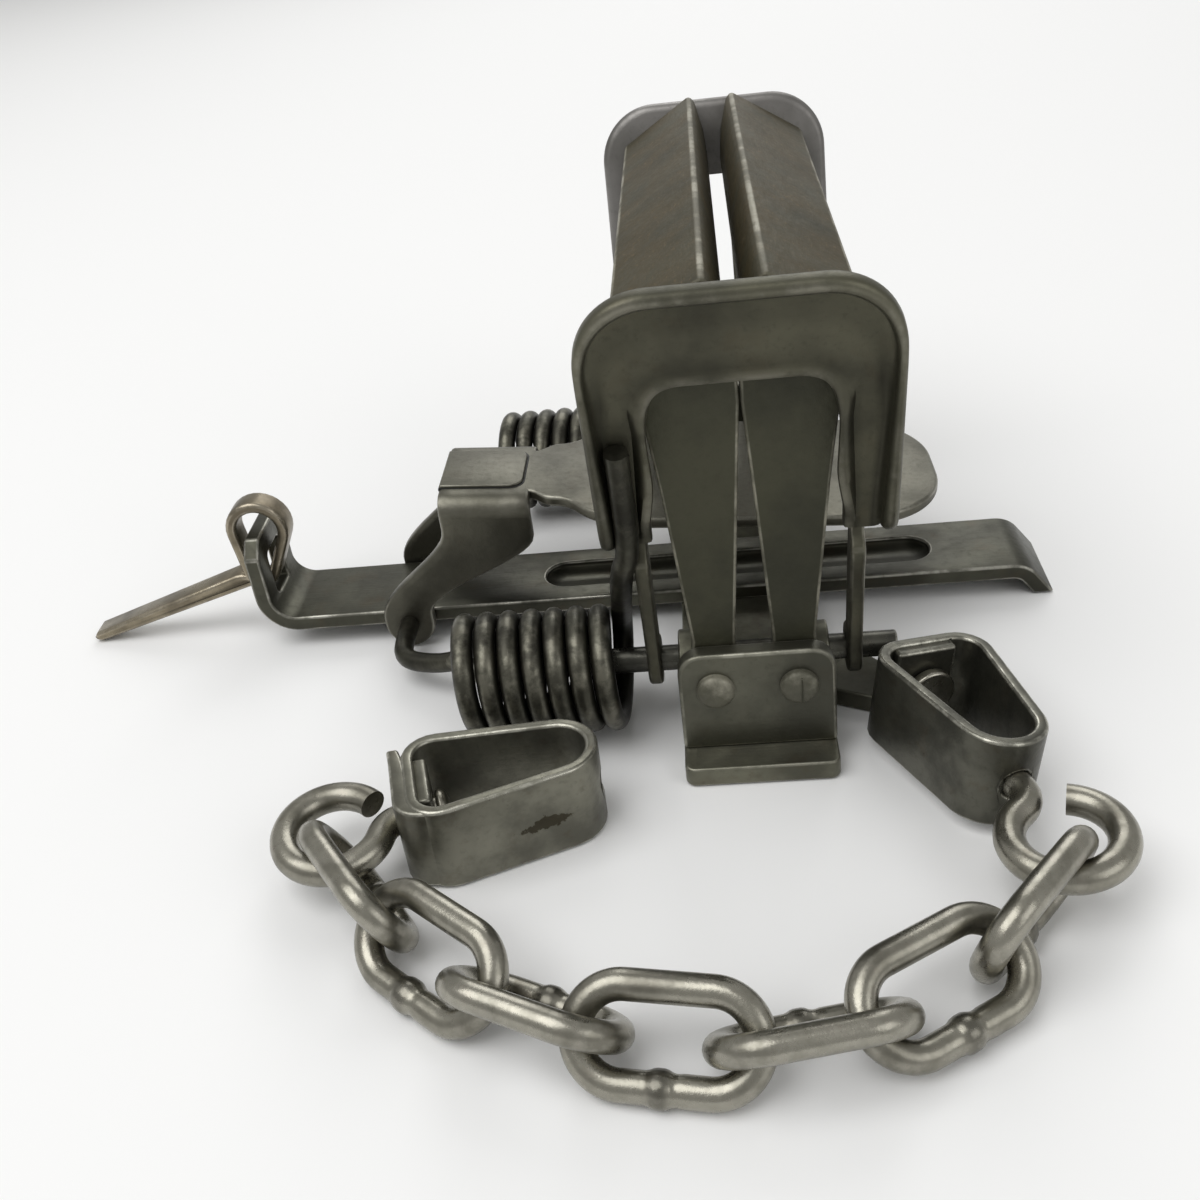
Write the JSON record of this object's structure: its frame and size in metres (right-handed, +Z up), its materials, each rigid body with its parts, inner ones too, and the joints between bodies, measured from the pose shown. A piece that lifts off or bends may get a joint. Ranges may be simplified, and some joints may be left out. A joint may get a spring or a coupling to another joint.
{
  "type": "foothold trap",
  "caption": "Sprung coil-spring foothold trap of bare oily steel, jaws closed and levers up, with pan, dog, two strap swivels and a short chain.",
  "frame": {"origin": "centre of the base bar's underside", "axes": "+X along the crossbar away from the dog, +Y along the jaw hinges away from the chain, +Z up"},
  "size_m": [0.177, 0.166, 0.0766],
  "materials": {
    "dark_steel": "oily",
    "spring_wire": "oily",
    "jaw_iron": "oily",
    "pan_steel": "satin",
    "dog_steel": "satin",
    "chain_steel": "satin"
  },
  "bodies": {
    "frame": {"base_bar": "dark_steel", "front_jaw_post": "dark_steel", "rear_jaw_post": "dark_steel", "cross_bar": "pan_steel", "front_axle": "dark_steel", "rear_axle": "dark_steel", "front_spring": "spring_wire", "rear_spring": "spring_wire", "swivel_rivet": "chain_steel"},
    "left_jaw": {"left_jaw": "jaw_iron"},
    "right_jaw": {"right_jaw": "jaw_iron"},
    "front_lever": {"front_lever": "dark_steel"},
    "rear_lever": {"rear_lever": "dark_steel"},
    "pan": {"pan": "pan_steel", "pan_catch": "pan_steel"},
    "dog": {"dog": "dog_steel"},
    "base_swivel_box": {"base_swivel_box": "chain_steel"},
    "base_eye_pin": {"base_eye_pin": "chain_steel"},
    "chain_link_1": {"chain_link_1": "chain_steel"},
    "chain_link_2": {"chain_link_2": "chain_steel"},
    "chain_link_3": {"chain_link_3": "chain_steel"},
    "chain_link_4": {"chain_link_4": "chain_steel"},
    "chain_link_5": {"chain_link_5": "chain_steel"},
    "chain_link_6": {"chain_link_6": "chain_steel"},
    "chain_link_7": {"chain_link_7": "chain_steel"},
    "stake_eye_pin": {"stake_eye_pin": "chain_steel"},
    "stake_swivel_box": {"stake_swivel_box": "chain_steel"}
  },
  "joints": [
    {"name": "front_lever_hinge", "type": "hinge", "parent": "frame", "child": "front_lever", "pos_m": [0, -0.036, 0.0112], "axis": [1, 0, 0], "range_deg": [0, 64], "stiffness_Nm_per_rad": 0.9, "springref_deg": -68.75, "deforming": ["front_spring"]},
    {"name": "rear_lever_hinge", "type": "hinge", "parent": "frame", "child": "rear_lever", "pos_m": [0, 0.036, 0.0112], "axis": [-1, 0, 0], "range_deg": [0, 64], "stiffness_Nm_per_rad": 0.9, "springref_deg": -68.75, "deforming": ["rear_spring"]},
    {"name": "right_jaw_hinge", "type": "hinge", "parent": "frame", "child": "right_jaw", "pos_m": [0.0061, 0, 0.0141], "axis": [0, 1, 0], "range_deg": [0, 43]},
    {"name": "left_jaw_hinge", "type": "hinge", "parent": "frame", "child": "left_jaw", "pos_m": [-0.0061, 0, 0.0141], "axis": [0, -1, 0], "range_deg": [0, 43]},
    {"name": "pan_hinge", "type": "hinge", "parent": "frame", "child": "pan", "pos_m": [-0.06, 0, 0.0048], "axis": [0, -1, 0], "range_deg": [-8, 6]},
    {"name": "dog_hinge", "type": "hinge", "parent": "frame", "child": "dog", "pos_m": [-0.0866, 0, 0.0192], "axis": [0, 1, 0], "range_deg": [0, 180]},
    {"name": "base_swivel", "type": "hinge", "parent": "frame", "child": "base_swivel_box", "pos_m": [0.024, -0.0406, 0.00823], "axis": [0.342, -0.9397, 0], "range_deg": [0, 8]},
    {"name": "base_eye_swivel", "type": "hinge", "parent": "base_swivel_box", "child": "base_eye_pin", "pos_m": [0.03358, -0.06691, 0.00823], "axis": [-0.342, 0.9397, 0], "range_deg": [0, 8]},
    {"name": "link_1_hinge", "type": "hinge", "parent": "base_eye_pin", "child": "chain_link_1", "pos_m": [0.03519, -0.08083, 0.007], "axis": [0, 0, 1], "range_deg": [0, 12]},
    {"name": "link_2_hinge", "type": "hinge", "parent": "chain_link_1", "child": "chain_link_2", "pos_m": [0.02477, -0.0928, 0.007], "axis": [0, 0, 1], "range_deg": [0, 12]},
    {"name": "link_3_hinge", "type": "hinge", "parent": "chain_link_2", "child": "chain_link_3", "pos_m": [0.01052, -0.10114, 0.007], "axis": [0, 0, 1], "range_deg": [0, 12]},
    {"name": "link_4_hinge", "type": "hinge", "parent": "chain_link_3", "child": "chain_link_4", "pos_m": [-0.0057, -0.10407, 0.007], "axis": [0, 0, 1], "range_deg": [0, 12]},
    {"name": "link_5_hinge", "type": "hinge", "parent": "chain_link_4", "child": "chain_link_5", "pos_m": [-0.02204, -0.10151, 0.007], "axis": [0, 0, 1], "range_deg": [0, 12]},
    {"name": "link_6_hinge", "type": "hinge", "parent": "chain_link_5", "child": "chain_link_6", "pos_m": [-0.0371, -0.09449, 0.007], "axis": [0, 0, 1], "range_deg": [0, 12]},
    {"name": "link_7_hinge", "type": "hinge", "parent": "chain_link_6", "child": "chain_link_7", "pos_m": [-0.04995, -0.08394, 0.007], "axis": [0, 0, 1], "range_deg": [0, 12]},
    {"name": "stake_eye_hinge", "type": "hinge", "parent": "chain_link_7", "child": "stake_eye_pin", "pos_m": [-0.05929, -0.07105, 0.007], "axis": [0, 0, 1], "range_deg": [0, 8]},
    {"name": "stake_swivel", "type": "hinge", "parent": "stake_eye_pin", "child": "stake_swivel_box", "pos_m": [-0.05051, -0.0647, 0.007], "axis": [0.9703, 0.2419, 0], "continuous": true}
  ],
  "couplings": [
    {"joint": "rear_lever_hinge", "follows": "front_lever_hinge", "ratio": 1},
    {"joint": "right_jaw_hinge", "follows": "front_lever_hinge", "ratio": 0.66},
    {"joint": "left_jaw_hinge", "follows": "front_lever_hinge", "ratio": 0.66},
    {"joint": "base_eye_swivel", "follows": "base_swivel", "ratio": 1}
  ]
}
